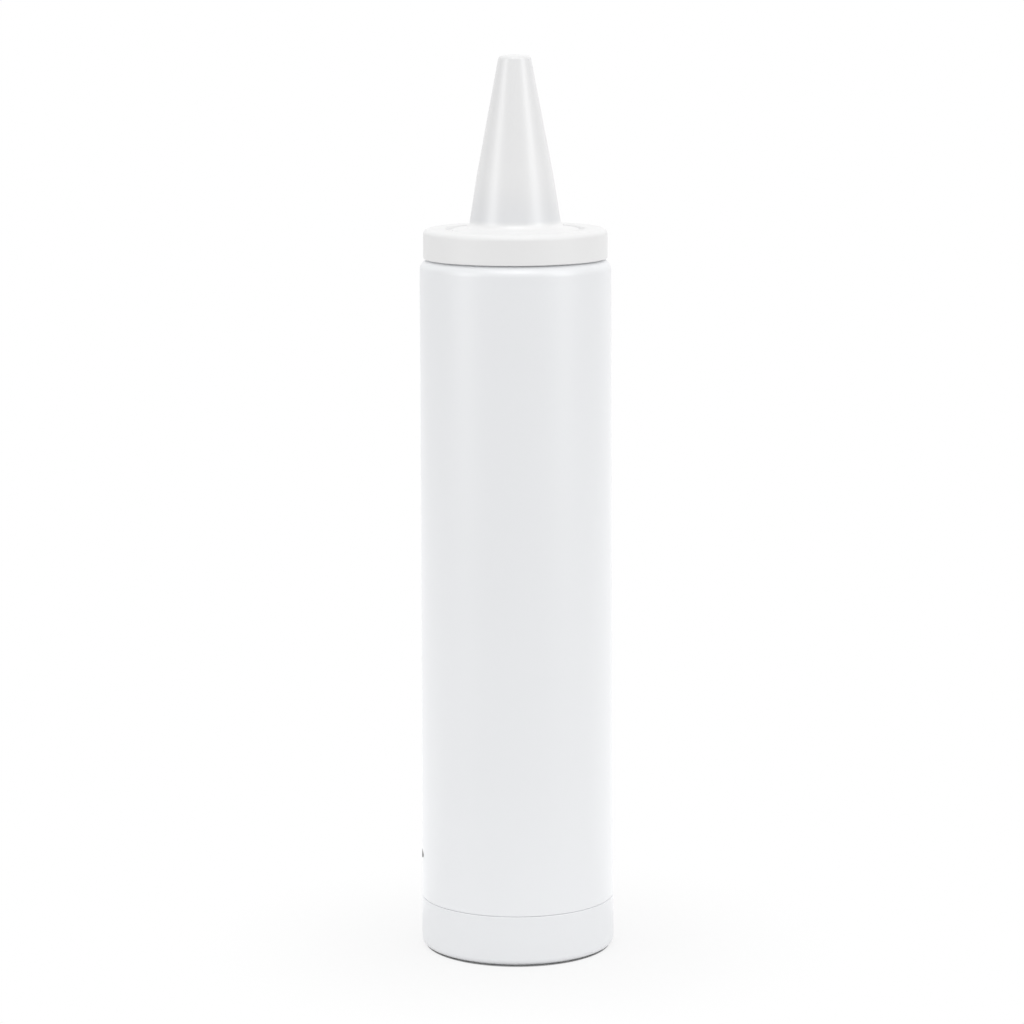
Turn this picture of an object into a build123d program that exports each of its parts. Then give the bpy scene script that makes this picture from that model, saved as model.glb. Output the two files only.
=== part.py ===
from build123d import *
import os

# A caulk cartridge that stands upright: a moulded barrel on a snapped-in base ring, closed by a
# head with a threaded neck, with a cone nozzle screwed over the neck. Inside are the compound
# and the plunger that a gun's rod drives up the bore.
# Millimetres, +Z up. The origin is on the floor, on the cartridge's axis, and -Y is the front.
# Fine threads are left out: the neck and the nozzle's socket keep the room that they need.

# Barrel
BODY_HEIGHT = 180.3         # floor to the flat top of the barrel's shoulder
BARREL_TOP_R = 24.56        # outside, where the draft line meets the top
WALL = 1.36                 # at the top of the bore, where the barrel is thinnest
DRAFT = 0.38                # how much wider the outside is above the flare than at the top
FLARE = 0.2                 # how much further the foot swells to take the base ring
FLARE_HEIGHT = 16.0         # length of the swelling
FLARE_STRAIGHT = 6.5        # straight foot between the seam and the swelling
FLARE_BLEND = 700.0         # very large rounding, so that no crease shows
SHOULDER_ROUNDING = 2.8
FLANGE = 1.8                # thickness of the shoulder where it turns in
SHOULDER_WIDTH = 7.56       # from the outside in to the mouth that the head plugs
INNER_ROUNDING = 1.3        # between the bore and the shoulder
SEAM_EDGE = 0.25            # rounding on both sides of the seam line
EDGE = 0.25                 # small broken edges on every moulding

# Base ring
RING_HEIGHT = 13.2          # floor to the seam
RING_PROUD = 0.05           # how far the ring stands out past the barrel's foot
FOOT_ROUNDING = 1.6
FOOT_LIFT = 0.2             # how far the outer edge stays clear of the floor
FOOT_INSET = 1.8            # from the outside in to the rim that the ring stands on
SEAM_GAP = 0.05             # hairline left open at the seam, outside the barrel's seat
SEAT_WIDTH = 0.75           # from the spigot out to the end of that seat
LEAD_IN = 0.6               # bevel that guides the gun's push disc
DISC_EASE = 0.15            # how much narrower the ring is than the plunger's pocket above it
SPIGOT_LENGTH = 5.0
SOCKET_WALL = 1.16          # barrel wall left outside the spigot
SPIGOT_FIT = 0.05           # radial clearance, spigot to socket
SPIGOT_END_GAP = 0.3        # between the spigot's end and the socket's step
SNAP_HEIGHT = 0.25          # how far the spigot's snap bead stands out
SNAP_LENGTH = 1.6
SNAP_UP = 1.6               # seam to the bead's lower edge

# Head
HEAD_THICKNESS = 7.75
HEAD_INSET = 0.94           # from the barrel's top radius in to the head's rim
HEAD_ROUNDING = 1.45
HEAD_UNDER_ROUNDING = 0.35
RIM_LIFT = 0.1              # how far the rim stays clear of the shoulder that the head seats on
RIM_WIDTH = 5.82            # from the head's outside in to the recess
RECESS_DEPTH = 0.7
RECESS_SLOPE = 0.5          # how much narrower the recess is at its floor
RECESS_ROUNDING = 0.6
ROOF = 2.2                  # thickness between the recess and the funnel, at the neck
FUNNEL_DROP = 1.8           # how far the roof falls from the neck to the plug's wall
PLUG_FIT = 0.05             # radial clearance, plug to mouth
PLUG_WALL = 1.5
PLUG_BELOW = 2.5            # how far the plug reaches below the shoulder
BEAD_HEIGHT = 0.55          # snap bead that holds the head under the shoulder
BEAD_GAP = 0.1
PLUG_TAPER = 0.5            # how much the plug's end narrows, so that it enters the mouth
CORE_LAND = 1.6             # land between the plug and the moulding groove
CORE_WIDTH = 2.4            # moulding groove that evens the head's wall
CORE_ROUNDING = 0.9

# Neck and its foil
NECK_R = 8.0
NECK_WALL = 2.0
NECK_HEIGHT = 10.8          # above the recess
NECK_ROOT = 0.8
FOIL = 0.15
FOIL_INSET = 0.15           # from the neck's edge in to the foil's

# Nozzle
NOZZLE_HEIGHT = 44.95       # from its seat in the recess to the tip
THREAD_ROOM = 0.8           # radial room between the neck and the nozzle's socket
SOCKET_OVER = 0.4           # room above the foil
CONE_FOOT_R = 11.9
CONE_FOOT_UP = 0.95         # seat to the foot of the cone
CONE_BLEND = 2.0
CONE_BEND_OUT = 0.85        # socket out to the bend, above which the cone tapers faster
CONE_BEND_OVER = 3.65       # end of the socket up to the bend
CONE_BEND_BLEND = 60.0      # large rounding, so that the bend shows no crease
SKIRT_GAP = 1.5             # between the skirt's rim and the recess wall's upper edge
SKIRT_EDGE = 0.5            # thickness of the skirt at its rim
TIP_R = 4.07
TIP_DOME = 0.4
TIP_ROUNDING = 1.1
TIP_THICKNESS = 2.0
CHANNEL_TIP_R = 2.7         # inside radius just under the closed tip
SOCKET_LEAD = 1.0

# Plunger
PLUNGER_GAP = 0.3           # between the plunger's skirt and the base ring's spigot
PLUNGER_HEIGHT = 20.0       # skirt's end to the shoulder that meets the compound
LIP_FIT = 0.05              # radial running clearance, lips to bore
LIP_HEIGHT = 0.55           # how far the lips stand out from the skirt
LIP_LENGTH = 2.4
LIP_SLOPE = 0.5
TOP_LIP_DOWN = 1.5          # shoulder to the upper lip
SKIRT_WALL = 1.15
WEB = 1.6
NOSE_HEIGHT = 6.0
NOSE_CLEAR = 0.6            # radial clearance, nose to the head's plug
NOSE_ROUNDING = 2.0
POCKET_DEPTH = 9.0          # skirt's end up to the ribs that the push disc meets
RIBS = 8
RIB_THICKNESS = 1.2
HUB_R = 5.0
HUB_WALL = 1.3

# Compound
FILL_FIT = 0.05             # modelling gap to the mouldings that hold it
FILL_OVER_PLUNGER = 0.3

# Worked out from the sizes above
bore_r = BARREL_TOP_R - WALL
barrel_low_r = BARREL_TOP_R + DRAFT
barrel_foot_r = barrel_low_r + FLARE
ring_r = barrel_foot_r + RING_PROUD
flare_from = RING_HEIGHT + FLARE_STRAIGHT
flare_to = flare_from + FLARE_HEIGHT
socket_r = barrel_foot_r - SOCKET_WALL
spigot_r = socket_r - SPIGOT_FIT
seat_r = spigot_r + SEAT_WIDTH
foot_r = ring_r - FOOT_INSET
lip_r = bore_r - LIP_FIT
plunger_r = lip_r - LIP_HEIGHT
pocket_r = plunger_r - SKIRT_WALL
ring_bore_r = pocket_r - DISC_EASE
spigot_top = RING_HEIGHT + SPIGOT_LENGTH
socket_top = spigot_top + SPIGOT_END_GAP
snap_from = RING_HEIGHT + SNAP_UP
snap_to = snap_from + SNAP_LENGTH
mouth_r = BARREL_TOP_R - SHOULDER_WIDTH
under_flange = BODY_HEIGHT - FLANGE

rim_under = BODY_HEIGHT + RIM_LIFT
head_top = BODY_HEIGHT + HEAD_THICKNESS
head_r = BARREL_TOP_R - HEAD_INSET
recess_r = head_r - RIM_WIDTH
recess_floor = head_top - RECESS_DEPTH
roof_z = recess_floor - ROOF
plug_r = mouth_r - PLUG_FIT
plug_in_r = plug_r - PLUG_WALL
plug_end = under_flange - PLUG_BELOW
bead_r = plug_r + BEAD_HEIGHT
bead_top = under_flange - BEAD_GAP
core_in_r = plug_r + CORE_LAND
core_out_r = core_in_r + CORE_WIDTH
neck_bore_r = NECK_R - NECK_WALL
neck_top = recess_floor + NECK_HEIGHT

skirt_r = recess_r - SKIRT_GAP
nozzle_socket_r = NECK_R + THREAD_ROOM
nozzle_socket_top = neck_top + FOIL + SOCKET_OVER
tip_top = recess_floor + NOZZLE_HEIGHT

plunger_foot = spigot_top + PLUNGER_GAP
plunger_shoulder = plunger_foot + PLUNGER_HEIGHT
nose_r = plug_in_r - NOSE_CLEAR
nose_top = plunger_shoulder + NOSE_HEIGHT
ribs_z = plunger_foot + POCKET_DEPTH

UPRIGHT = (Align.CENTER, Align.CENTER, Align.MIN)
OUTWARD = (Align.MIN, Align.CENTER, Align.MIN)


def turned(corners):
    """Turn a closed outline of (radius, height, rounding) corners about the upright axis."""
    points = [(r, z) for r, z, rounding in corners]
    roundings = [rounding for r, z, rounding in corners]
    outline = FilletPolyline(*points, radius=roundings, close=True)
    return revolve(Plane.XZ * make_face(outline), Axis.Z)


def make_base_ring():
    """The collar that the cartridge stands on, with the spigot that snaps into the barrel."""
    return turned([
        (ring_bore_r + LEAD_IN, 0, 0),
        (foot_r, 0, 0),
        (foot_r, FOOT_LIFT, 0),
        (ring_r, FOOT_LIFT, FOOT_ROUNDING),
        (ring_r, RING_HEIGHT - SEAM_GAP, SEAM_EDGE),
        (seat_r, RING_HEIGHT - SEAM_GAP, 0),
        (seat_r, RING_HEIGHT, 0),
        (spigot_r, RING_HEIGHT, 0),
        (spigot_r, snap_from, 0),
        (spigot_r + SNAP_HEIGHT, snap_from + SNAP_HEIGHT, 0),
        (spigot_r, snap_to, 0),
        (spigot_r, spigot_top, EDGE),
        (ring_bore_r, spigot_top, EDGE),
        (ring_bore_r, LEAD_IN, 0),
    ])


def make_barrel():
    """The tube: drafted outside, straight bore, turned-in shoulder, socket for the base ring."""
    return turned([
        (socket_r, RING_HEIGHT, EDGE),
        (barrel_foot_r, RING_HEIGHT, SEAM_EDGE),
        (barrel_foot_r, flare_from, FLARE_BLEND),
        (barrel_low_r, flare_to, FLARE_BLEND),
        (BARREL_TOP_R, BODY_HEIGHT, SHOULDER_ROUNDING),
        (mouth_r, BODY_HEIGHT, EDGE),
        (mouth_r, under_flange, EDGE),
        (bore_r, under_flange, INNER_ROUNDING),
        (bore_r, socket_top, EDGE),
        (socket_r, socket_top, 0),
        (socket_r, snap_to, 0),
        (socket_r + SNAP_HEIGHT, snap_from + SNAP_HEIGHT, 0),
        (socket_r, snap_from, 0),
    ])


def make_head():
    """The cap on the shoulder: recessed top, cored rim, plug with a snap bead, open neck."""
    return turned([
        (neck_bore_r, neck_top, EDGE),
        (NECK_R, neck_top, EDGE),
        (NECK_R, recess_floor, NECK_ROOT),
        (recess_r - RECESS_SLOPE, recess_floor, RECESS_ROUNDING),
        (recess_r, head_top, RECESS_ROUNDING),
        (head_r, head_top, HEAD_ROUNDING),
        (head_r, rim_under, HEAD_UNDER_ROUNDING),
        (core_out_r, rim_under, 0),
        (core_out_r, roof_z, CORE_ROUNDING),
        (core_in_r, roof_z, CORE_ROUNDING),
        (core_in_r, BODY_HEIGHT, 0),
        (plug_r, BODY_HEIGHT, 0),
        (plug_r, bead_top, 0),
        (bead_r, bead_top, EDGE),
        (plug_r - PLUG_TAPER, plug_end, EDGE),
        (plug_in_r, plug_end, EDGE),
        (plug_in_r, roof_z - FUNNEL_DROP, CORE_ROUNDING),
        (neck_bore_r, roof_z, EDGE),
    ])


def make_seal_foil():
    """The thin disc sealed across the neck's mouth."""
    return Pos(0, 0, neck_top) * Cylinder(NECK_R - FOIL_INSET, FOIL, align=UPRIGHT)


def make_nozzle():
    """The hollow cone with its closed tip, its skirt in the recess and its socket on the neck."""
    return turned([
        (0, tip_top, 0),
        (TIP_R, tip_top - TIP_DOME, TIP_ROUNDING),
        (nozzle_socket_r + CONE_BEND_OUT, nozzle_socket_top + CONE_BEND_OVER, CONE_BEND_BLEND),
        (CONE_FOOT_R, recess_floor + CONE_FOOT_UP, CONE_BLEND),
        (skirt_r, recess_floor + SKIRT_EDGE, EDGE),
        (skirt_r, recess_floor, EDGE),
        (nozzle_socket_r + SOCKET_LEAD, recess_floor, 0),
        (nozzle_socket_r, recess_floor + SOCKET_LEAD, 0),
        (nozzle_socket_r, nozzle_socket_top, EDGE),
        (CHANNEL_TIP_R, tip_top - TIP_THICKNESS, TIP_ROUNDING),
        (0, tip_top - TIP_THICKNESS, 0),
    ])


def lip_corners(low):
    """One sealing lip of the plunger, from its upper end down to its lower end."""
    high = low + LIP_LENGTH
    return [
        (plunger_r, high, 0),
        (lip_r, high - LIP_SLOPE, EDGE),
        (lip_r, low + LIP_SLOPE, EDGE),
        (plunger_r, low, 0),
    ]


def make_plunger():
    """The piston: a nosed cup with two lips, stiffened inside by ribs round a hub."""
    upper_lip = plunger_shoulder - TOP_LIP_DOWN - LIP_LENGTH
    front = [
        (0, nose_top, 0),
        (nose_r, nose_top, NOSE_ROUNDING),
        (nose_r, plunger_shoulder, EDGE),
        (plunger_r, plunger_shoulder, EDGE),
        *lip_corners(upper_lip),
        *lip_corners(plunger_foot),
    ]
    whole = turned(front + [(0, plunger_foot, 0)])
    nose_pocket_r = nose_r - WEB
    cup = turned(front + [
        (pocket_r, plunger_foot, 0),
        (pocket_r, plunger_shoulder - WEB, EDGE),
        (nose_pocket_r, plunger_shoulder - WEB, EDGE),
        (nose_pocket_r, nose_top - WEB, EDGE),
        (0, nose_top - WEB, 0),
    ])
    height = nose_top - ribs_z
    rib_from = HUB_R - HUB_WALL / 2
    rib_to = pocket_r + SKIRT_WALL / 2
    hub = Cylinder(HUB_R, height, align=UPRIGHT) - Cylinder(HUB_R - HUB_WALL, height, align=UPRIGHT)
    rib = Pos(rib_from, 0, 0) * Box(rib_to - rib_from, RIB_THICKNESS, height, align=OUTWARD)
    stiffening = Pos(0, 0, ribs_z) * (hub + PolarLocations(0, RIBS) * rib)
    return cup + (stiffening & whole)


def make_sealant():
    """The compound, from the plunger's face up through the head to the foil."""
    over = FILL_OVER_PLUNGER
    return turned([
        (0, nose_top + over, 0),
        (nose_r + over, nose_top + over, 0),
        (nose_r + over, plunger_shoulder + over, 0),
        (bore_r - FILL_FIT, plunger_shoulder + over, 0),
        (bore_r - FILL_FIT, under_flange - FILL_FIT, INNER_ROUNDING),
        (bead_r + FILL_FIT, under_flange - FILL_FIT, 0),
        (bead_r + FILL_FIT, bead_top, 0),
        (plug_r - PLUG_TAPER + FILL_FIT, plug_end - FILL_FIT, 0),
        (plug_in_r - FILL_FIT, plug_end - FILL_FIT, 0),
        (plug_in_r - FILL_FIT, roof_z - FUNNEL_DROP - FILL_FIT, CORE_ROUNDING),
        (neck_bore_r - FILL_FIT, roof_z - FILL_FIT, 0),
        (neck_bore_r - FILL_FIT, neck_top - FILL_FIT, 0),
        (0, neck_top - FILL_FIT, 0),
    ])


PARTS = {
    "base_ring": make_base_ring,
    "barrel": make_barrel,
    "head": make_head,
    "seal_foil": make_seal_foil,
    "nozzle": make_nozzle,
    "plunger": make_plunger,
    "sealant": make_sealant,
}

os.makedirs("parts", exist_ok=True)
for name, make in PARTS.items():
    export_step(make(), f"parts/{name}.step")
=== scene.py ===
import math

import bmesh
import bpy
from bpy.props import FloatProperty, FloatVectorProperty, IntProperty, PointerProperty
from bpy.types import Operator, Panel, PropertyGroup
from mathutils import Matrix, Vector


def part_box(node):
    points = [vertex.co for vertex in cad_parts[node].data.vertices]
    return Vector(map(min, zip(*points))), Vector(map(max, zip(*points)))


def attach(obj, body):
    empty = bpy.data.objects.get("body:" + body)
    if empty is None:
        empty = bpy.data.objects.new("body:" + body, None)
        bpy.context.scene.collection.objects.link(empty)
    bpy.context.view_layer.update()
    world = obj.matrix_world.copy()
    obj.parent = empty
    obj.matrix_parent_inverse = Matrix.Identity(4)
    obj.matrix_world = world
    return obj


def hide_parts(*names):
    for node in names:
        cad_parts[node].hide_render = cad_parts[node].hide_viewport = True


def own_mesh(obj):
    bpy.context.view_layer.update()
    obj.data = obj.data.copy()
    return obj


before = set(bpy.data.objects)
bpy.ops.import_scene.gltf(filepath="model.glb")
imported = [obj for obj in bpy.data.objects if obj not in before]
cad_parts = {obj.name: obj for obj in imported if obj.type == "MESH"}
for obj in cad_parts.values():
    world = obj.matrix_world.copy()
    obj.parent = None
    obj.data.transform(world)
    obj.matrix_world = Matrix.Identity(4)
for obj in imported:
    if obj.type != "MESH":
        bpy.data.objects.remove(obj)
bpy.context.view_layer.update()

bl_info = {
    "name": "Caulk cartridge",
    "version": (1, 0, 0),
    "blender": (4, 5, 0),
    "location": "View3D > Sidebar > Cartridge",
    "description": "Builds an upright caulk cartridge piece by piece, with its finishes and a plain studio",
    "category": "Add Mesh",
}

# The cartridge stands on the floor at the origin, +Z up through its axis, with its front towards -Y.
# Every piece is turned about that axis, so an outline is a list of (radius, height, rounding) corners.
MM = 0.001
MICRON = MM / 1000
WELD = 0.0005 * MM          # corners nearer than this are one
SHARP_TURN = math.radians(35)           # an edge that turns more than this stays crisp
SEGMENT_TURN = math.radians(11)         # about how far each face of a rounding turns


def reach(node):
    """How far a node of the frame stands out from the axis."""
    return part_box(node)[1].x


def bottom(node):
    """Height of a node's lowest point."""
    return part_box(node)[0].z


def top(node):
    """Height of a node's highest point."""
    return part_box(node)[1].z


def mouth_radius(barrel):
    """Radius of the opening in the barrel's shoulder."""
    return barrel.foot_radius - barrel.flare - barrel.draft - barrel.shoulder_width


def length(name, description, default):
    """A size in metres that a user can change."""
    return FloatProperty(
        name=name, description=description, default=default,
        min=0.0, precision=5, unit="LENGTH", subtype="DISTANCE",
    )


def share(name, description, default, highest=1.0):
    """A plain number from nothing to its highest."""
    return FloatProperty(name=name, description=description, default=default, min=0.0, max=highest)


def turn(name, description, default):
    """An angle, given in degrees and kept in radians."""
    return FloatProperty(
        name=name, description=description, default=math.radians(default), subtype="ANGLE", unit="ROTATION",
    )


def colour(name, description, default):
    """A colour as the finish shows it in even white light."""
    return FloatVectorProperty(
        name=name, description=description, default=default, size=3, min=0.0, max=1.0, subtype="COLOR",
    )


# Sizes that a user would change

class CommonSizes(PropertyGroup):
    """What every turned piece shares."""
    around: IntProperty(
        name="Steps around", description="Faces in one turn about the axis", default=192, min=48, max=384,
    )
    edge: length("Broken edge", "Small rounding on every moulding's edges", 0.25 * MM)
    seam_edge: length("Seam edge", "Rounding on both sides of the seam near the foot", 0.25 * MM)


class BarrelSizes(PropertyGroup):
    """The tube."""
    foot_radius: length("Foot radius", "Outside radius at the seam", reach("barrel"))
    flare: length("Flare", "How far the foot swells to take the base ring", 0.2 * MM)
    flare_straight: length("Straight foot", "Seam to the lower end of the swelling", 6.5 * MM)
    flare_height: length("Flare height", "Length of the swelling", 16 * MM)
    flare_blend: length("Flare blend", "Very large rounding that hides the swelling's creases", 700 * MM)
    draft: length("Draft", "How much the wall narrows from the flare to the shoulder", 0.38 * MM)
    wall: length("Wall", "Wall thickness at the top of the bore", 1.36 * MM)
    shoulder_rounding: length("Shoulder rounding", "Rounding at the top of the tube", 2.8 * MM)
    shoulder_width: length("Shoulder width", "From the outside in to the mouth", 7.56 * MM)
    flange: length("Shoulder thickness", "Thickness of the turned-in shoulder", 1.8 * MM)
    inner_rounding: length("Inner rounding", "Rounding between the bore and the shoulder", 1.3 * MM)
    socket_wall: length("Socket wall", "Wall left outside the base ring's spigot", 1.16 * MM)
    socket_depth: length("Socket depth", "Seam to the socket's step", 5.3 * MM)


class RingSizes(PropertyGroup):
    """The collar that the cartridge stands on."""
    radius: length("Radius", "Outside radius", reach("base_ring"))
    foot_rounding: length("Foot rounding", "Rounding of the ring's lower edge", 1.6 * MM)
    foot_lift: length("Foot lift", "How far the outer edge stays clear of the floor", 0.2 * MM)
    foot_inset: length("Foot inset", "From the outside in to the rim that the ring stands on", 1.8 * MM)
    seam_gap: length("Seam gap", "Hairline left open at the seam, outside the barrel's seat", 0.05 * MM)
    seat_width: length("Seat width", "From the spigot out to the end of the barrel's seat", 0.75 * MM)
    bore: length("Bore radius", "Way in for the gun's push disc", 21.3 * MM)
    lead_in: length("Lead-in", "Bevel that guides the push disc", 0.6 * MM)
    fit: length("Spigot fit", "Radial clearance between spigot and socket", 0.05 * MM)
    snap_up: length("Snap height", "Seam to the lower edge of the snap bead", 1.6 * MM)
    snap_length: length("Snap length", "Length of the snap bead", 1.6 * MM)
    snap_out: length("Snap depth", "How far the snap bead stands out", 0.25 * MM)


class HeadSizes(PropertyGroup):
    """The cap with its neck."""
    radius: length("Radius", "Outside radius", reach("head"))
    thickness: length("Thickness", "Underside to the rim's top", 7.75 * MM)
    rounding: length("Upper rounding", "Rounding at the rim's top", 1.45 * MM)
    under_rounding: length("Lower rounding", "Rounding under the rim", 0.35 * MM)
    rim_lift: length("Rim lift", "How far the rim stays clear of the shoulder", 0.1 * MM)
    rim: length("Rim width", "Outside in to the recess", 5.82 * MM)
    recess_slope: length("Recess slope", "How much narrower the recess is at its floor", 0.5 * MM)
    recess_rounding: length("Recess rounding", "Rounding at the recess's floor and edge", 0.6 * MM)
    roof: length("Roof", "Thickness under the recess at the neck", 2.2 * MM)
    funnel: length("Funnel drop", "How far the roof falls towards the plug", 1.8 * MM)
    plug_fit: length("Plug fit", "Radial clearance between plug and mouth", 0.05 * MM)
    plug_wall: length("Plug wall", "Thickness of the plug's wall", 1.5 * MM)
    plug_taper: length("Plug taper", "How much the plug's end narrows", 0.5 * MM)
    bead: length("Snap bead", "How far the bead under the shoulder stands out", 0.55 * MM)
    bead_gap: length("Bead gap", "Room between the bead and the shoulder", 0.1 * MM)
    core_land: length("Core land", "Plug to the moulding groove under the rim", 1.6 * MM)
    core_width: length("Core width", "Width of the moulding groove", 2.4 * MM)
    core_rounding: length("Core rounding", "Rounding inside the groove and the funnel", 0.9 * MM)
    neck_radius: length("Neck radius", "Root radius of the neck's thread", 8.0 * MM)
    neck_wall: length("Neck wall", "Thickness of the neck", 2.0 * MM)
    neck_root: length("Neck root", "Rounding at the foot of the neck", 0.8 * MM)


class ThreadSizes(PropertyGroup):
    """The right-hand thread between the neck and the nozzle."""
    pitch: length("Pitch", "Rise in one turn", 3.0 * MM)
    height: length("Ridge height", "How far a ridge stands off its wall", 0.36 * MM)
    crest: length("Crest", "Width of the ridge's flat top", 0.5 * MM)
    flank: length("Flank", "Width of each sloping side", 0.5 * MM)
    start: length("Start", "Wall's lower end to the middle of the first turn", 1.3 * MM)
    turns: share("Turns", "Length of the thread in turns", 2.5, highest=10.0)
    fade: share("Fade", "Share of a turn over which the ridge rises and ends", 0.14)
    row: length("Row", "Height of one row of faces on a threaded wall", 0.13 * MM)


class NozzleSizes(PropertyGroup):
    """The cone."""
    skirt_radius: length("Skirt radius", "Outside radius at the recess floor", reach("nozzle"))
    skirt_edge: length("Skirt edge", "Thickness of the skirt at its rim", 0.5 * MM)
    cone_foot: length("Cone foot radius", "Outside radius where the cone begins", 11.9 * MM)
    cone_up: length("Cone foot height", "Seat to the foot of the cone", 0.95 * MM)
    cone_blend: length("Cone blend", "Rounding between skirt and cone", 2.0 * MM)
    bend_out: length("Bend width", "Socket out to the bend, where the cone tapers faster", 0.85 * MM)
    bend_over: length("Bend height", "End of the socket up to the bend", 3.65 * MM)
    bend_blend: length("Bend blend", "Large rounding that hides the bend's crease", 60.0 * MM)
    tip_radius: length("Tip radius", "Outside radius at the tip", 4.07 * MM)
    tip_dome: length("Tip dome", "How far the tip's middle stands above its edge", 0.4 * MM)
    tip_rounding: length("Tip rounding", "Rounding round the tip", 1.1 * MM)
    tip_thickness: length("Tip thickness", "Closed end that the user cuts off", 2.0 * MM)
    channel: length("Channel radius", "Inside radius just under the tip", 2.7 * MM)
    thread_room: length("Thread room", "Radial room between neck and socket", 0.8 * MM)
    socket_lead: length("Socket lead", "Bevel at the socket's mouth", 1.0 * MM)
    socket_over: length("Socket over", "Room above the foil", 0.4 * MM)


class FoilSizes(PropertyGroup):
    """The disc sealed over the neck."""
    radius: length("Radius", "Outside radius", reach("seal_foil"))
    pressed: length("Pressed depth", "How deep the sealing ring is pressed", 0.05 * MM)
    mouth: length("Mouth radius", "Where the sealing ring begins", 6.2 * MM)
    ring: length("Ring width", "Width of the pressed sealing ring", 1.1 * MM)
    slope: length("Slope", "Width of the step beside the sealing ring", 0.25 * MM)
    emboss: length("Emboss", "Distance between two embossed dimples", 0.6 * MM)


class CompoundSizes(PropertyGroup):
    """What fills the cartridge."""
    fit: length("Fit", "Gap to the mouldings that hold it", 0.05 * MM)
    nose: length("Nose radius", "Radius of the hollow over the plunger's nose", 15.15 * MM)
    nose_height: length("Nose height", "Height of that hollow", 6.0 * MM)
    left: share("Left over", "Share of its height that is left when the plunger is up", 0.01)


class PrintSizes(PropertyGroup):
    """The small printed oval low on the barrel's left side."""
    height: length("Height", "Floor to the middle of the mark", 24.4 * MM)
    half_width: length("Half width", "Half the mark's length round the barrel", 5.0 * MM)
    half_height: length("Half height", "Half the mark's height", 1.25 * MM)
    soft: share("Softness", "Share of the mark over which its edge fades", 0.15)


class Finishes(PropertyGroup):
    """Colours as they look in even white light."""
    body: colour("Body", "Barrel", (0.856, 0.866, 0.882))
    # Painted shade: the collar is coloured a little darker than the barrel for the shade near the floor
    ring: colour("Base ring", "Collar, a little darker than the barrel", (0.834, 0.844, 0.860))
    head: colour("Head", "Cap and neck", (0.842, 0.842, 0.842))
    nozzle: colour("Nozzle", "Cone", (0.818, 0.818, 0.821))
    # Painted shade: the cone's colour at its foot over the neck, darker and cooler, for the shade beside
    # the head
    nozzle_foot_painted_shade: colour("Nozzle foot", "Cone at its foot, over the neck", (0.735, 0.741, 0.754))
    # Painted light: the upward-facing skirt is coloured paler than the cone it is moulded with
    skirt: colour("Skirt", "Nozzle's thin skirt in the recess", (0.860, 0.860, 0.860))
    plunger: colour("Plunger", "Piston", (0.790, 0.800, 0.790))
    foil: colour("Foil", "Seal over the neck", (0.800, 0.810, 0.820))
    compound: colour("Compound", "Fill", (0.860, 0.850, 0.820))
    ink: colour("Ink", "Printed mark", (0.070, 0.072, 0.075))
    # Painted shadow: the dark floor colour laid under and just round the foot
    under: colour("Under the foot", "Floor in the foot's own shade", (0.470, 0.470, 0.470))
    floor: colour("Floor", "Floor round the cartridge", (0.800, 0.800, 0.800))
    far_floor: colour("Far floor", "What the floor further out throws back", (0.620, 0.620, 0.620))


class Studio(PropertyGroup):
    """Camera, lamps and floor."""
    camera_back: length("Camera distance", "Axis to the lens, towards the front", 937.9 * MM)
    camera_side: length("Camera side", "How far left of the axis the lens is", 1.13 * MM)
    camera_height: length("Camera height", "Floor to the lens", 263.3 * MM)
    camera_down: turn("Camera tilt", "How far the lens looks down", 9.015)
    camera_roll: turn("Camera roll", "How far the camera leans to the right", 0.23)
    lens: share("Lens", "Focal length in millimetres on a 36 mm sensor", 128.85, highest=500.0)
    surround: share("Surround", "Light from all round", 1.04, highest=4.0)
    overhead: share("Overhead", "Glow of the panel above", 0.26, highest=40.0)
    right_side: share("Right side", "Glow of the large panel at the right", 0.24, highest=40.0)
    right_back: share("Right back", "Glow of the large panel behind on the right", 0.26, highest=40.0)
    left_strip: share("Left strip", "Glow of the strip box mirrored at the left", 5.6, highest=40.0)
    right_strip: share("Right strip", "Glow of the strip box mirrored at the right", 5.3, highest=40.0)
    high_front: share("High front", "Glow of the box mirrored in the shoulder", 4.0, highest=40.0)
    high_right: share("High right", "Glow of the box mirrored in the shoulder's right", 3.0, highest=40.0)
    floor_glow: share("Floor glow", "Glow of the floor behind, mirrored in the sides", 0.46, highest=40.0)
    # Painted shadow round the foot: where its dark floor colour ends, how it fades and how much narrower it
    # is at both sides
    shade_in: length("Shade", "Outer edge in to the end of the foot's own shade at the front", 0.2 * MM)
    shade_soft: length("Shade's edge", "How far that shade fades", 0.35 * MM)
    painted_shadow_side_squeeze: share("Side fill", "How much less far that shade reaches at both sides", 0.04)
    near_white: share("Near white", "How much of the floor near the foot is seen as plain white", 0.74)
    white_from: length("White from", "Axis to where the floor begins to turn plain white", 26 * MM)
    white_to: length("White to", "Axis to where the floor is plain white", 90 * MM)
    pale_from: length("Pale from", "Axis to where the floor begins to throw back less", 60 * MM)
    pale_to: length("Pale to", "Axis to where the floor throws back least", 260 * MM)


class Cartridge(PropertyGroup):
    """Everything that the panel shows."""
    common: PointerProperty(type=CommonSizes)
    barrel: PointerProperty(type=BarrelSizes)
    ring: PointerProperty(type=RingSizes)
    head: PointerProperty(type=HeadSizes)
    thread: PointerProperty(type=ThreadSizes)
    nozzle: PointerProperty(type=NozzleSizes)
    foil: PointerProperty(type=FoilSizes)
    compound: PointerProperty(type=CompoundSizes)
    mark: PointerProperty(type=PrintSizes)
    finishes: PointerProperty(type=Finishes)
    studio: PointerProperty(type=Studio)


# Shaping

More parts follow.
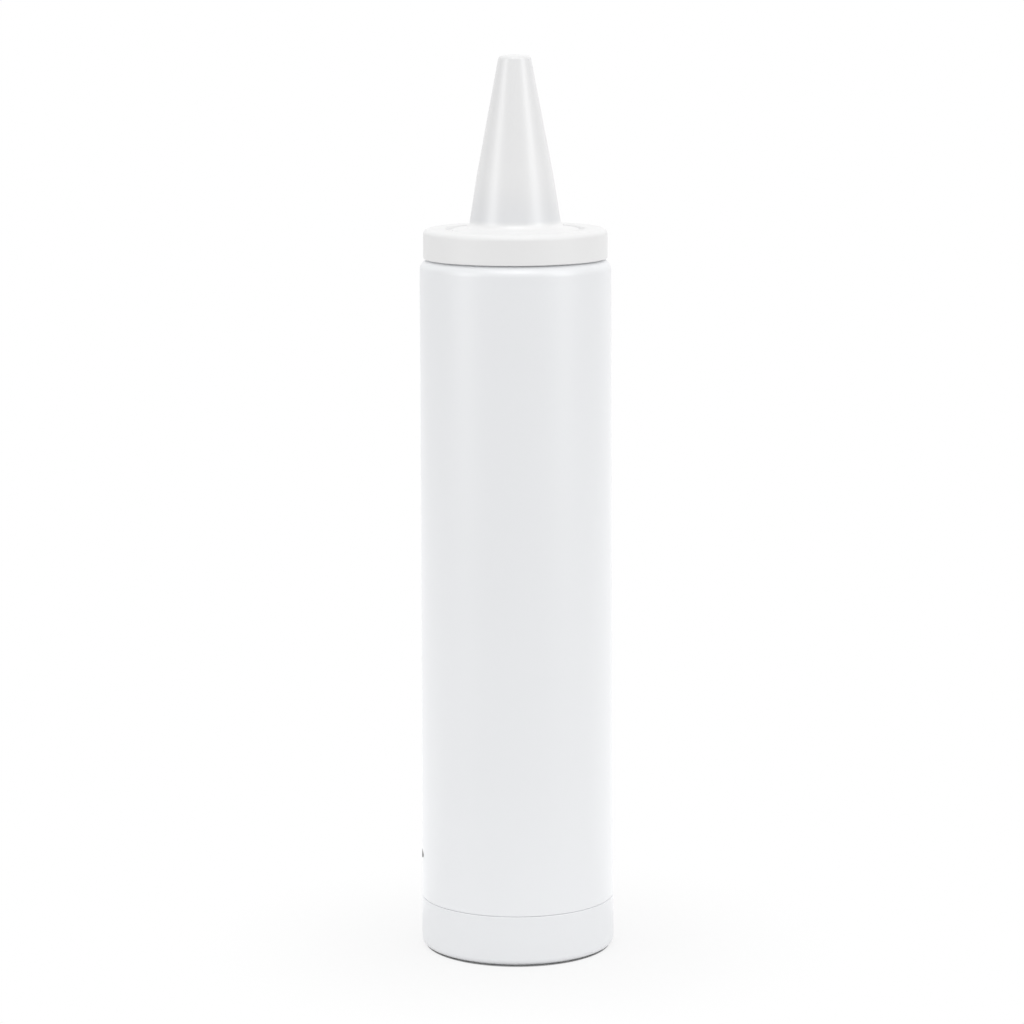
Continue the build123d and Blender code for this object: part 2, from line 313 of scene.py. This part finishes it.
def outline(corners):
    """A wire in the XZ plane through (radius, height, rounding) corners, open along the axis."""
    shape = bmesh.new()
    points = [shape.verts.new((radius, 0, height)) for radius, height, rounding in corners]
    for point, following in zip(points, points[1:] + points[:1]):
        if point.co.x > WELD or following.co.x > WELD:
            shape.edges.new((point, following))
    for point, (radius, height, rounding) in zip(points, corners):
        if rounding:
            round_corner(shape, point, rounding)
    return shape


def round_corner(shape, point, rounding):
    """Bevel one corner of a wire into an arc of that radius."""
    one, other = (edge.other_vert(point).co - point.co for edge in point.link_edges)
    corner_turn = math.pi - one.angle(other)
    bmesh.ops.bevel(
        shape, geom=[point], offset=rounding * math.tan(corner_turn / 2), offset_type="OFFSET",
        segments=max(3, round(corner_turn / SEGMENT_TURN)), profile=0.5, affect="VERTICES", material=-1,
    )


def add_rows(shape, radius, row):
    """Divide the tall upright line at that radius into short rows, so that a thread can rise from it."""
    for edge in list(shape.edges):
        ends = [point.co for point in edge.verts]
        upright = all(abs(end.x - radius) < WELD for end in ends)
        if upright and edge.calc_length() > 10 * row:
            rows = round(edge.calc_length() / row)
            bmesh.ops.subdivide_edges(shape, edges=[edge], cuts=rows - 1)


def spin_round(shape, around):
    """Turn the wire into a closed skin about the upright axis, facing outwards."""
    bmesh.ops.spin(
        shape, geom=shape.verts[:] + shape.edges[:], cent=(0, 0, 0), axis=(0, 0, 1), dvec=(0, 0, 0),
        angle=2 * math.pi, steps=around, use_merge=True, use_duplicate=False,
    )
    bmesh.ops.remove_doubles(shape, verts=shape.verts, dist=WELD)
    bmesh.ops.recalc_face_normals(shape, faces=shape.faces)


def smooth(share_done):
    """Ease a share from 0 to 1, flat at both ends."""
    share_done = min(max(share_done, 0.0), 1.0)
    return share_done * share_done * (3 - 2 * share_done)


def raise_thread(shape, radius, foot, thread, outwards):
    """Raise one right-hand helical ridge from the wall at that radius, outwards or inwards."""
    for point in shape.verts:
        out = math.hypot(point.co.x, point.co.y)
        if abs(out - radius) > WELD:
            continue
        round_share = math.atan2(point.co.y, point.co.x) / (2 * math.pi) % 1
        rise = (point.co.z - foot - thread.start) / thread.pitch - round_share
        whole = round(rise)
        along = whole + round_share
        from_middle = abs(rise - whole) * thread.pitch
        ends = smooth(along / thread.fade) * smooth((thread.turns - along) / thread.fade)
        ridge = smooth((thread.crest / 2 + thread.flank - from_middle) / thread.flank)
        push = thread.height * ends * ridge * (1 if outwards else -1)
        point.co.x *= (out + push) / out
        point.co.y *= (out + push) / out


def add_piece(shape, name, finish, body, node):
    """Make an object of the shape, which stands for a node of the frame and moves with its body."""
    mesh = bpy.data.meshes.new(name)
    shape.to_mesh(mesh)
    shape.free()
    mesh.shade_smooth()
    mesh.set_sharp_from_angle(angle=SHARP_TURN)
    mesh.materials.append(finish)
    piece = bpy.data.objects.new(name, mesh)
    bpy.context.scene.collection.objects.link(piece)
    even = piece.modifiers.new("Even shading", "WEIGHTED_NORMAL")
    even.keep_sharp = True
    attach(piece, body)
    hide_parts(node)
    return piece


# Shaders

class Value:
    """A socket of a shader tree, so that sums on it are written as plain expressions."""

    def __init__(self, shader, socket):
        self.shader = shader
        self.socket = socket

    def output(self, name):
        """Another output of the same node."""
        return Value(self.shader, self.socket.node.outputs[name])

    def __add__(self, other):
        return self.shader.sum("ADD", self, other)

    __radd__ = __add__

    def __sub__(self, other):
        return self.shader.sum("SUBTRACT", self, other)

    def __rsub__(self, other):
        return self.shader.sum("SUBTRACT", other, self)

    def __mul__(self, other):
        return self.shader.sum("MULTIPLY", self, other)

    __rmul__ = __mul__

    def __truediv__(self, other):
        return self.shader.sum("DIVIDE", self, other)


class Shader:
    """One tree of shader nodes, empty at first."""

    def __init__(self, tree):
        self.tree = tree
        tree.nodes.clear()

    def node(self, kind, settings=None, inputs=None):
        """Add a node: its settings first, then the values or links of its sockets."""
        made = self.tree.nodes.new(kind)
        for name, value in (settings or {}).items():
            setattr(made, name, value)
        for socket, value in (inputs or {}).items():
            if isinstance(value, Value):
                self.tree.links.new(value.socket, made.inputs[socket])
            else:
                made.inputs[socket].default_value = value
        return Value(self, made.outputs[0] if made.outputs else None)

    def sum(self, operation, *terms):
        """A Math node."""
        return self.node("ShaderNodeMath", {"operation": operation}, dict(enumerate(terms)))

    def position(self):
        """Where a point lies on the piece, in metres."""
        return self.node("ShaderNodeTexCoord").output("Object")

    def placed(self, scale):
        """The position stretched by a scale along each axis."""
        return self.node("ShaderNodeMapping", None, {"Vector": self.position(), "Scale": scale})

    def reach(self, place):
        """How far a place is from the origin."""
        return self.node("ShaderNodeVectorMath", {"operation": "LENGTH"}, {0: place}).output("Value")

    def noise(self, size, detail=2.0, where=None):
        """Noise whose lumps are about that size in metres, from 0 to 1."""
        return self.node("ShaderNodeTexNoise", None, {
            "Vector": where or self.position(), "Scale": 1 / size, "Detail": detail, "Roughness": 0.5,
        })

    def ease(self, value, start, end):
        """A share from 0 at start to 1 at end, flat at both ends."""
        return self.node("ShaderNodeMapRange", {"interpolation_type": "SMOOTHSTEP"}, {
            "Value": value, "From Min": start, "From Max": end,
        })

    def matt(self, rgb):
        """A plain matt surface."""
        return self.node("ShaderNodeBsdfDiffuse", None, {"Color": tinted(rgb)})

    def mix_surfaces(self, factor, one, other):
        """A surface between two others."""
        return self.node("ShaderNodeMixShader", None, {0: factor, 1: one, 2: other})

    def bump(self, height):
        """A normal that gives the surface that relief, in metres."""
        return self.node("ShaderNodeBump", None, {"Height": height, "Distance": 1.0, "Strength": 1.0})

    def mix(self, factor, one, other):
        """A colour between two others."""
        settings = {"data_type": "RGBA", "blend_type": "MIX"}
        made = self.node("ShaderNodeMix", settings, {0: factor, 6: one, 7: other})
        return Value(self, made.socket.node.outputs[2])


def tinted(rgb, factor=1.0):
    """A colour, lighter or darker by a factor, ready for a colour socket."""
    return (*(min(channel * factor, 1.0) for channel in rgb), 1.0)


def new_shader(name):
    """A material and its empty tree."""
    finish = bpy.data.materials.new(name)
    finish.use_nodes = True
    return finish, Shader(finish.node_tree)


def finish_with(shader, surface):
    """Send a surface to the tree's end."""
    shader.node("ShaderNodeOutputMaterial", None, {"Surface": surface})


def moulded_look(shader, rgb, roughness):
    """Colour, roughness and fine relief of satin moulded plastic, with flow clouds and drawn streaks."""
    clouds = shader.noise(38 * MM, detail=3.0)
    streaks = shader.noise(1.6 * MM, detail=2.0, where=shader.placed((1, 1, 0.03)))
    grain = shader.noise(0.32 * MM, detail=2.0)
    waves = shader.noise(14 * MM, detail=1.0, where=shader.placed((1, 1, 0.45)))
    base = shader.mix(clouds, tinted(rgb, 0.988), tinted(rgb, 1.012))
    rough = roughness + (clouds - 0.5) * 0.10 + (streaks - 0.5) * 0.05 + (grain - 0.5) * 0.04
    height = waves * (16 * MICRON) + streaks * (0.8 * MICRON) + grain * (1.0 * MICRON)
    return base, rough, height


def finish_plastic(shader, base, rough, height):
    """Close a tree as plastic."""
    finish_with(shader, shader.node("ShaderNodeBsdfPrincipled", None, {
        "Base Color": base, "Roughness": rough, "Normal": shader.bump(height), "IOR": 1.5,
    }))


def moulded_plastic(name, rgb, roughness):
    """Plain satin plastic."""
    finish, shader = new_shader(name)
    finish_plastic(shader, *moulded_look(shader, rgb, roughness))
    return finish


def printed_plastic(name, colours, roughness, mark, radius):
    """The barrel's satin plastic with the small printed mark on its left side, in matt ink."""
    finish, shader = new_shader(name)
    base, rough, height = moulded_look(shader, colours.body, roughness)
    inked = printed_mark(shader, mark, radius)
    printed = shader.mix(inked, base, tinted(colours.ink))
    finish_plastic(shader, printed, rough + inked * 0.3, height)
    return finish


def cone_plastic(name, colours, roughness, foot, blend, bend):
    """Slightly milky plastic, darker and cooler at the cone's foot over the neck as painted shade, with a
    skirt painted paler than the cone as painted light.
    """
    finish, shader = new_shader(name)
    base, rough, height = moulded_look(shader, colours.nozzle, roughness)
    up = shader.node("ShaderNodeSeparateXYZ", None, {0: shader.position()}).output("Z")
    # Painted shade: the colour runs from the darker foot colour up to the plain cone at the bend
    cone = shader.mix(shader.ease(up, foot, bend), tinted(colours.nozzle_foot_painted_shade), base)
    # Painted light: below the cone's foot the skirt takes its paler colour
    above = shader.ease(up, foot, foot + blend)
    finish_plastic(shader, shader.mix(above, tinted(colours.skirt), cone), rough, height)
    return finish


def printed_mark(shader, mark, radius):
    """Where the ink lies: a small soft-edged oval round the side that faces -X."""
    place = shader.node("ShaderNodeSeparateXYZ", None, {0: shader.position()})
    turned_from = shader.sum("ARCTAN2", place.output("Y"), 0 - place.output("X"))
    across = turned_from * (radius / mark.half_width)
    up = (place.output("Z") - mark.height) / mark.half_height
    inside = 1 - shader.ease(across * across + up * up, 1 - mark.soft, 1 + mark.soft)
    patchy = shader.noise(0.25 * MM, detail=3.0)
    cover = shader.ease(patchy, 0.2, 0.42)
    return inside * (0.75 + cover * 0.25)


def sealed_foil(name, rgb, step):
    """Rolled aluminium foil with a fine dimpled emboss and soft creases."""
    finish, shader = new_shader(name)
    place = shader.node("ShaderNodeSeparateXYZ", None, {0: shader.position()})
    wave = 2 * math.pi / step
    across = shader.sum("SINE", place.output("X") * wave)
    along = shader.sum("SINE", place.output("Y") * wave)
    creases = shader.noise(2.5 * MM, detail=4.0)
    rolled = shader.noise(0.3 * MM, detail=3.0, where=shader.placed((0.04, 1, 1)))
    height = across * along * (12 * MICRON) + creases * (60 * MICRON)
    finish_with(shader, shader.node("ShaderNodeBsdfPrincipled", None, {
        "Base Color": shader.mix(rolled, tinted(rgb, 0.94), tinted(rgb, 1.04)),
        "Roughness": 0.26 + rolled * 0.14, "Metallic": 1.0, "Normal": shader.bump(height),
    }))
    return finish


def soft_compound(name, rgb):
    """Smooth paste with faint swirls and a damp surface."""
    finish, shader = new_shader(name)
    swirls = shader.noise(9 * MM, detail=3.0)
    lumps = shader.noise(1.2 * MM, detail=2.0)
    height = swirls * (90 * MICRON) + lumps * (8 * MICRON)
    finish_with(shader, shader.node("ShaderNodeBsdfPrincipled", None, {
        "Base Color": shader.mix(swirls, tinted(rgb, 0.97), tinted(rgb, 1.02)),
        "Roughness": 0.34 + lumps * 0.16, "Normal": shader.bump(height),
    }))
    return finish


def studio_floor(name, colours, foot, studio):
    """Pale floor that takes the cartridge's shadow, with a painted shadow of darker floor colour round the
    foot, and is seen as plain white further out.
    """
    finish, shader = new_shader(name)
    # Painted shadow: the floor takes the dark colour under and just round the foot, narrower at the sides,
    # with no plain white over it
    under = shader.matt(colours.under)
    near = shader.matt(colours.floor)
    far = shader.matt(colours.far_floor)
    white = shader.node("ShaderNodeEmission", None, {"Color": (1, 1, 1, 1), "Strength": 1.0})
    distance = shader.reach(shader.position())
    paling = shader.ease(distance, studio.pale_from, studio.pale_to)
    squeezed = shader.reach(shader.placed((1 + studio.painted_shadow_side_squeeze, 1, 1)))
    painted_shadow_end = foot - studio.shade_in
    clear = shader.ease(squeezed, painted_shadow_end, painted_shadow_end + studio.shade_soft)
    painted_foot_shadow = shader.mix_surfaces(clear, under, near)
    lit = shader.mix_surfaces(paling, painted_foot_shadow, far)
    away = shader.ease(distance, studio.white_from, studio.white_to)
    whiteness = clear * (studio.near_white + away * (1 - studio.near_white))
    finish_with(shader, shader.mix_surfaces(whiteness * seen_directly(shader), lit, white))
    return finish


def seen_directly(shader):
    """1 for rays from the camera or off gloss or through glass, and 0 for light itself."""
    path = shader.node("ShaderNodeLightPath")
    rays = path.output("Is Camera Ray") + path.output("Is Glossy Ray") + path.output("Is Transmission Ray")
    return shader.sum("MINIMUM", rays, 1.0)


# Pieces

class CARTRIDGE_OT_barrel(Operator):
    """Turn the tube with its drafted wall, rounded shoulder and socket for the base ring"""

    bl_idname = "cartridge.barrel"
    bl_label = "Barrel"

    def execute(self, context):
        cartridge = context.scene.cartridge
        sizes, ring, edge = cartridge.barrel, cartridge.ring, cartridge.common.edge
        seam, crown = bottom("barrel"), top("barrel")
        low_radius = sizes.foot_radius - sizes.flare
        top_radius = low_radius - sizes.draft
        bore = top_radius - sizes.wall
        mouth = mouth_radius(sizes)
        socket = sizes.foot_radius - sizes.socket_wall
        flare_from = seam + sizes.flare_straight
        snap = seam + ring.snap_up
        shape = outline([
            (socket, seam, edge),
            (sizes.foot_radius, seam, cartridge.common.seam_edge),
            (sizes.foot_radius, flare_from, sizes.flare_blend),
            (low_radius, flare_from + sizes.flare_height, sizes.flare_blend),
            (top_radius, crown, sizes.shoulder_rounding),
            (mouth, crown, edge),
            (mouth, crown - sizes.flange, edge),
            (bore, crown - sizes.flange, sizes.inner_rounding),
            (bore, seam + sizes.socket_depth, edge),
            (socket, seam + sizes.socket_depth, 0),
            (socket, snap + ring.snap_length, 0),
            (socket + ring.snap_out, snap + ring.snap_out, 0),
            (socket, snap, 0),
        ])
        spin_round(shape, cartridge.common.around)
        finish = printed_plastic(
            "printed_body_plastic", cartridge.finishes, roughness=0.38,
            mark=cartridge.mark, radius=sizes.foot_radius,
        )
        add_piece(shape, "barrel_tube", finish, "cartridge", "barrel")
        return {"FINISHED"}


class CARTRIDGE_OT_base_ring(Operator):
    """Turn the collar that the cartridge stands on, with the spigot that snaps into the barrel"""

    bl_idname = "cartridge.base_ring"
    bl_label = "Base ring"

    def execute(self, context):
        cartridge = context.scene.cartridge
        sizes, edge = cartridge.ring, cartridge.common.edge
        foot, seam, crown = bottom("base_ring"), bottom("barrel"), top("base_ring")
        spigot = cartridge.barrel.foot_radius - cartridge.barrel.socket_wall - sizes.fit
        snap = seam + sizes.snap_up
        standing = sizes.radius - sizes.foot_inset
        ledge = seam - sizes.seam_gap
        seat = spigot + sizes.seat_width
        shape = outline([
            (sizes.bore + sizes.lead_in, foot, 0),
            (standing, foot, 0),
            (standing, foot + sizes.foot_lift, 0),
            (sizes.radius, foot + sizes.foot_lift, sizes.foot_rounding),
            (sizes.radius, ledge, cartridge.common.seam_edge),
            (seat, ledge, 0),
            (seat, seam, 0),
            (spigot, seam, 0),
            (spigot, snap, 0),
            (spigot + sizes.snap_out, snap + sizes.snap_out, 0),
            (spigot, snap + sizes.snap_length, 0),
            (spigot, crown, edge),
            (sizes.bore, crown, edge),
            (sizes.bore, foot + sizes.lead_in, 0),
        ])
        spin_round(shape, cartridge.common.around)
        finish = moulded_plastic("body_plastic_ring", cartridge.finishes.ring, roughness=0.40)
        add_piece(shape, "base_collar", finish, "cartridge", "base_ring")
        return {"FINISHED"}


class CARTRIDGE_OT_head(Operator):
    """Turn the cap with its recess, cored rim and snap plug, and thread its neck"""

    bl_idname = "cartridge.head"
    bl_label = "Head"

    def execute(self, context):
        cartridge = context.scene.cartridge
        sizes, barrel, edge = cartridge.head, cartridge.barrel, cartridge.common.edge
        seat, floor, neck_top, plug_end = top("barrel"), bottom("nozzle"), top("head"), bottom("head")
        crown = seat + sizes.thickness
        recess = sizes.radius - sizes.rim
        roof = floor - sizes.roof
        plug = mouth_radius(barrel) - sizes.plug_fit
        plug_in = plug - sizes.plug_wall
        bead_top = seat - barrel.flange - sizes.bead_gap
        core_in = plug + sizes.core_land
        core_out = core_in + sizes.core_width
        neck_bore = sizes.neck_radius - sizes.neck_wall
        shape = outline([
            (neck_bore, neck_top, edge),
            (sizes.neck_radius, neck_top, edge),
            (sizes.neck_radius, floor, sizes.neck_root),
            (recess - sizes.recess_slope, floor, sizes.recess_rounding),
            (recess, crown, sizes.recess_rounding),
            (sizes.radius, crown, sizes.rounding),
            (sizes.radius, seat + sizes.rim_lift, sizes.under_rounding),
            (core_out, seat + sizes.rim_lift, 0),
            (core_out, roof, sizes.core_rounding),
            (core_in, roof, sizes.core_rounding),
            (core_in, seat, 0),
            (plug, seat, 0),
            (plug, bead_top, 0),
            (plug + sizes.bead, bead_top, edge),
            (plug - sizes.plug_taper, plug_end, edge),
            (plug_in, plug_end, edge),
            (plug_in, roof - sizes.funnel, sizes.core_rounding),
            (neck_bore, roof, edge),
        ])
        add_rows(shape, sizes.neck_radius, cartridge.thread.row)
        spin_round(shape, cartridge.common.around)
        raise_thread(shape, sizes.neck_radius, floor + sizes.neck_root, cartridge.thread, outwards=True)
        finish = moulded_plastic("head_plastic_satin", cartridge.finishes.head, roughness=0.52)
        add_piece(shape, "head_cap", finish, "cartridge", "head")
        return {"FINISHED"}


class CARTRIDGE_OT_nozzle(Operator):
    """Turn the hollow cone with its closed tip and skirt, and thread its socket"""

    bl_idname = "cartridge.nozzle"
    bl_label = "Nozzle"

    def execute(self, context):
        cartridge = context.scene.cartridge
        sizes, edge = cartridge.nozzle, cartridge.common.edge
        seat, tip = bottom("nozzle"), top("nozzle")
        socket = cartridge.head.neck_radius + sizes.thread_room
        socket_top = top("seal_foil") + sizes.socket_over
        channel_top = tip - sizes.tip_thickness
        shape = outline([
            (0, tip, 0),
            (sizes.tip_radius, tip - sizes.tip_dome, sizes.tip_rounding),
            (socket + sizes.bend_out, socket_top + sizes.bend_over, sizes.bend_blend),
            (sizes.cone_foot, seat + sizes.cone_up, sizes.cone_blend),
            (sizes.skirt_radius, seat + sizes.skirt_edge, edge),
            (sizes.skirt_radius, seat, edge),
            (socket + sizes.socket_lead, seat, 0),
            (socket, seat + sizes.socket_lead, 0),
            (socket, socket_top, edge),
            (sizes.channel, channel_top, sizes.tip_rounding),
            (0, channel_top, 0),
        ])
        add_rows(shape, socket, cartridge.thread.row)
        spin_round(shape, cartridge.common.around)
        raise_thread(shape, socket, seat + sizes.socket_lead, cartridge.thread, outwards=False)
        # Height where the skirt's painted light gives way to the cone's painted shade
        cone_from = seat + sizes.cone_up + sizes.cone_blend / 4
        finish = cone_plastic(
            "nozzle_plastic_satin", cartridge.finishes, roughness=0.38,
            foot=cone_from, blend=sizes.cone_blend, bend=socket_top + sizes.bend_over,
        )
        add_piece(shape, "cone_nozzle", finish, "spout", "nozzle")
        return {"FINISHED"}


class CARTRIDGE_OT_foil(Operator):
    """Press the foil disc onto the neck's mouth"""

    bl_idname = "cartridge.foil"
    bl_label = "Seal foil"

    def execute(self, context):
        cartridge = context.scene.cartridge
        sizes = cartridge.foil
        under, over = bottom("seal_foil"), top("seal_foil")
        pressed = over - sizes.pressed
        ring_out = sizes.mouth + sizes.ring
        shape = outline([
            (0, over, 0),
            (sizes.mouth - sizes.slope, over, sizes.slope),
            (sizes.mouth, pressed, sizes.slope),
            (ring_out, pressed, 0),
            (ring_out + sizes.slope, over, 0),
            (sizes.radius, pressed, 0),
            (sizes.radius, under, 0),
            (0, under, 0),
        ])
        spin_round(shape, cartridge.common.around)
        finish = sealed_foil("embossed_foil", cartridge.finishes.foil, sizes.emboss)
        add_piece(shape, "foil_seal", finish, "cartridge", "seal_foil")
        return {"FINISHED"}


class CARTRIDGE_OT_compound(Operator):
    """Turn the compound that fills the barrel, the head's funnel and the neck"""

    bl_idname = "cartridge.compound"
    bl_label = "Compound"

    def execute(self, context):
        cartridge = context.scene.cartridge
        sizes, head, barrel = cartridge.compound, cartridge.head, cartridge.barrel
        fit = sizes.fit
        face, neck_top = bottom("sealant"), top("sealant")
        ceiling = top("barrel") - barrel.flange
        wall = reach("sealant")
        plug = mouth_radius(barrel) - head.plug_fit
        plug_in = plug - head.plug_wall
        plug_end = bottom("head")
        roof = bottom("nozzle") - head.roof
        neck_bore = head.neck_radius - head.neck_wall
        shape = outline([
            (0, face + sizes.nose_height, 0),
            (sizes.nose, face + sizes.nose_height, 0),
            (sizes.nose, face, 0),
            (wall, face, 0),
            (wall, ceiling - fit, barrel.inner_rounding),
            (plug + head.bead + fit, ceiling - fit, 0),
            (plug + head.bead + fit, ceiling - head.bead_gap, 0),
            (plug - head.plug_taper + fit, plug_end - fit, 0),
            (plug_in - fit, plug_end - fit, 0),
            (plug_in - fit, roof - head.funnel - fit, head.core_rounding),
            (neck_bore - fit, roof - fit, 0),
            (neck_bore - fit, neck_top, 0),
            (0, neck_top, 0),
        ])
        spin_round(shape, cartridge.common.around)
        finish = soft_compound("white_compound", cartridge.finishes.compound)
        fill = add_piece(shape, "compound_fill", finish, "cartridge", "sealant")
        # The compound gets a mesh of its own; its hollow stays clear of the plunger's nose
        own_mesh(fill)
        return {"FINISHED"}


class CARTRIDGE_OT_plunger(Operator):
    """Give the frame's own ribbed plunger its milky plastic"""

    bl_idname = "cartridge.plunger"
    bl_label = "Plunger"

    def execute(self, context):
        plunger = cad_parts["plunger"]
        colours = context.scene.cartridge.finishes
        finish = moulded_plastic("milky_plunger_plastic", colours.plunger, roughness=0.42)
        plunger.data.materials.clear()
        plunger.data.materials.append(finish)
        return {"FINISHED"}


# Studio

# Name, azimuth and elevation in degrees, distance, width and height in metres, and whether only gloss
# mirrors it. Azimuth 0 is at the front and 90 at the right. The glow has the same name in Studio.
SOFT_BOXES = (
    ("overhead", 0, 90, 1.5, 1.8, 1.8, False),
    ("right_side", 70, 5, 1.3, 0.7, 1.2, False),
    ("right_back", 135, 5, 1.3, 0.8, 1.2, False),
    ("left_strip", -62, 16, 1.2, 0.40, 0.72, True),
    ("right_strip", 59, 17, 1.2, 0.42, 0.68, True),
    ("high_front", 0, 56, 1.2, 0.8, 0.56, True),
    ("high_right", 60, 42, 1.2, 0.7, 0.4, True),
)
MIDDLE = Vector((0, 0, 0.11))           # what the soft boxes face
CONE = Vector((0, 0, 0.21))             # what the black cards face
BEHIND = Vector((0, 0.72, 1))           # over the floor behind the cartridge


def way_to(azimuth, elevation):
    """Direction out from the cartridge."""
    across, up = math.radians(azimuth), math.radians(elevation)
    return Vector((math.sin(across) * math.cos(up), -math.cos(across) * math.cos(up), math.sin(up)))


def add_panel(name, azimuth, elevation, distance, width, height, glow, target, gloss_only):
    """A soft box that faces the target."""
    lamp = bpy.data.lights.new(name, "AREA")
    lamp.shape = "RECTANGLE"
    lamp.size = width
    lamp.size_y = height
    lamp.energy = glow * math.pi * width * height
    panel = bpy.data.objects.new(name, lamp)
    bpy.context.scene.collection.objects.link(panel)
    panel.location = target + way_to(azimuth, elevation) * distance
    panel.rotation_euler = (target - panel.location).to_track_quat("-Z", "Y").to_euler()
    panel.visible_camera = False
    panel.visible_diffuse = not gloss_only


def add_flag(name, azimuth, elevation, distance, width, height, target):
    """A black card that only gloss mirrors, which darkens the target's side beside its streak."""
    way = way_to(azimuth, elevation)
    turned = way.to_track_quat("Z", "Y").to_matrix().to_4x4()
    facing = Matrix.Translation(target + way * distance) @ turned
    card = bmesh.new()
    bmesh.ops.create_grid(
        card, x_segments=1, y_segments=1, size=0.5, matrix=facing @ Matrix.Diagonal((width, height, 1, 1)),
    )
    mesh = bpy.data.meshes.new(name)
    card.to_mesh(mesh)
    card.free()
    black, shader = new_shader("black_card")
    finish_with(shader, shader.matt((0.01, 0.01, 0.01)))
    mesh.materials.append(black)
    flag = bpy.data.objects.new(name, mesh)
    bpy.context.scene.collection.objects.link(flag)
    flag.visible_camera = False
    flag.visible_diffuse = False
    flag.visible_transmission = False
    flag.visible_shadow = False


class CARTRIDGE_OT_studio(Operator):
    """Lay the white floor, hang the lamps and set up the camera"""

    bl_idname = "cartridge.studio"
    bl_label = "Studio"

    def execute(self, context):
        cartridge = context.scene.cartridge
        studio = cartridge.studio
        self.lay_floor(cartridge)
        self.light_surround(studio)
        for name, azimuth, elevation, distance, width, height, gloss_only in SOFT_BOXES:
            glow = getattr(studio, name)
            add_panel(name, azimuth, elevation, distance, width, height, glow, MIDDLE, gloss_only)
        add_panel("floor_glow", 0, -90, 0.998, 1.4, 1.4, studio.floor_glow, BEHIND, gloss_only=True)
        add_flag("left_flag", -104, 10, 0.6, 0.32, 0.26, CONE)
        add_flag("right_flag", 106, 10, 0.6, 0.08, 0.26, CONE)
        self.set_camera(studio)
        context.scene.view_settings.view_transform = "Standard"
        return {"FINISHED"}

    def lay_floor(self, cartridge):
        """One large round sheet."""
        sheet = bmesh.new()
        bmesh.ops.create_circle(sheet, cap_ends=True, segments=96, radius=6.0)
        mesh = bpy.data.meshes.new("studio_floor")
        sheet.to_mesh(mesh)
        sheet.free()
        finish = studio_floor("pale_floor", cartridge.finishes, cartridge.ring.radius, cartridge.studio)
        mesh.materials.append(finish)
        floor = bpy.data.objects.new("studio_floor", mesh)
        bpy.context.scene.collection.objects.link(floor)

    def light_surround(self, studio):
        """A white world that lights the cartridge softly from all round."""
        world = bpy.data.worlds.new("white_surround")
        world.use_nodes = True
        bpy.context.scene.world = world
        shader = Shader(world.node_tree)
        seen = seen_directly(shader)
        background = shader.node("ShaderNodeBackground", None, {
            "Color": (1, 1, 1, 1), "Strength": studio.surround + seen * (1.0 - studio.surround),
        })
        shader.node("ShaderNodeOutputWorld", None, {"Surface": background})

    def set_camera(self, studio):
        """The lens at its place in front, a little above the cartridge's top."""
        lens = bpy.data.cameras.new("lens")
        lens.lens = studio.lens
        lens.sensor_width = 36.0
        camera = bpy.data.objects.new("camera", lens)
        place = Matrix.Translation((-studio.camera_side, -studio.camera_back, studio.camera_height))
        tilt = Matrix.Rotation(math.pi / 2 - studio.camera_down, 4, "X")
        roll = Matrix.Rotation(-studio.camera_roll, 4, "Z")
        camera.matrix_world = place @ tilt @ roll
        bpy.context.scene.collection.objects.link(camera)
        bpy.context.scene.camera = camera


class CARTRIDGE_PT_panel(Panel):
    """Lists what builds the cartridge, with its sizes and colours"""

    bl_idname = "CARTRIDGE_PT_panel"
    bl_label = "Caulk cartridge"
    bl_space_type = "VIEW_3D"
    bl_region_type = "UI"
    bl_category = "Cartridge"

    def draw(self, context):
        layout = self.layout
        cartridge = context.scene.cartridge
        for make, groups in BUILDERS:
            box = layout.box()
            box.operator(make.bl_idname)
            for group in groups:
                sizes = getattr(cartridge, group)
                for name in sizes.bl_rna.properties.keys():
                    if name not in ("rna_type", "name"):
                        box.prop(sizes, name)


# Each operator with the groups of sizes or colours that the panel shows under it
BUILDERS = (
    (CARTRIDGE_OT_base_ring, ("common", "ring")),
    (CARTRIDGE_OT_barrel, ("barrel", "mark")),
    (CARTRIDGE_OT_head, ("head", "thread")),
    (CARTRIDGE_OT_foil, ("foil",)),
    (CARTRIDGE_OT_nozzle, ("nozzle",)),
    (CARTRIDGE_OT_plunger, ("finishes",)),
    (CARTRIDGE_OT_compound, ("compound",)),
    (CARTRIDGE_OT_studio, ("studio",)),
)
GROUPS = (
    CommonSizes, BarrelSizes, RingSizes, HeadSizes, ThreadSizes, NozzleSizes, FoilSizes,
    CompoundSizes, PrintSizes, Finishes, Studio, Cartridge,
)
CLASSES = GROUPS + tuple(make for make, groups in BUILDERS) + (CARTRIDGE_PT_panel,)


def register():
    for each in CLASSES:
        bpy.utils.register_class(each)
    bpy.types.Scene.cartridge = PointerProperty(type=Cartridge)


def unregister():
    del bpy.types.Scene.cartridge
    for each in reversed(CLASSES):
        bpy.utils.unregister_class(each)


def main():
    register()
    bpy.ops.cartridge.base_ring()
    bpy.ops.cartridge.barrel()
    bpy.ops.cartridge.head()
    bpy.ops.cartridge.foil()
    bpy.ops.cartridge.nozzle()
    bpy.ops.cartridge.plunger()
    bpy.ops.cartridge.compound()
    bpy.ops.cartridge.studio()


if __name__ == "__main__":
    main()
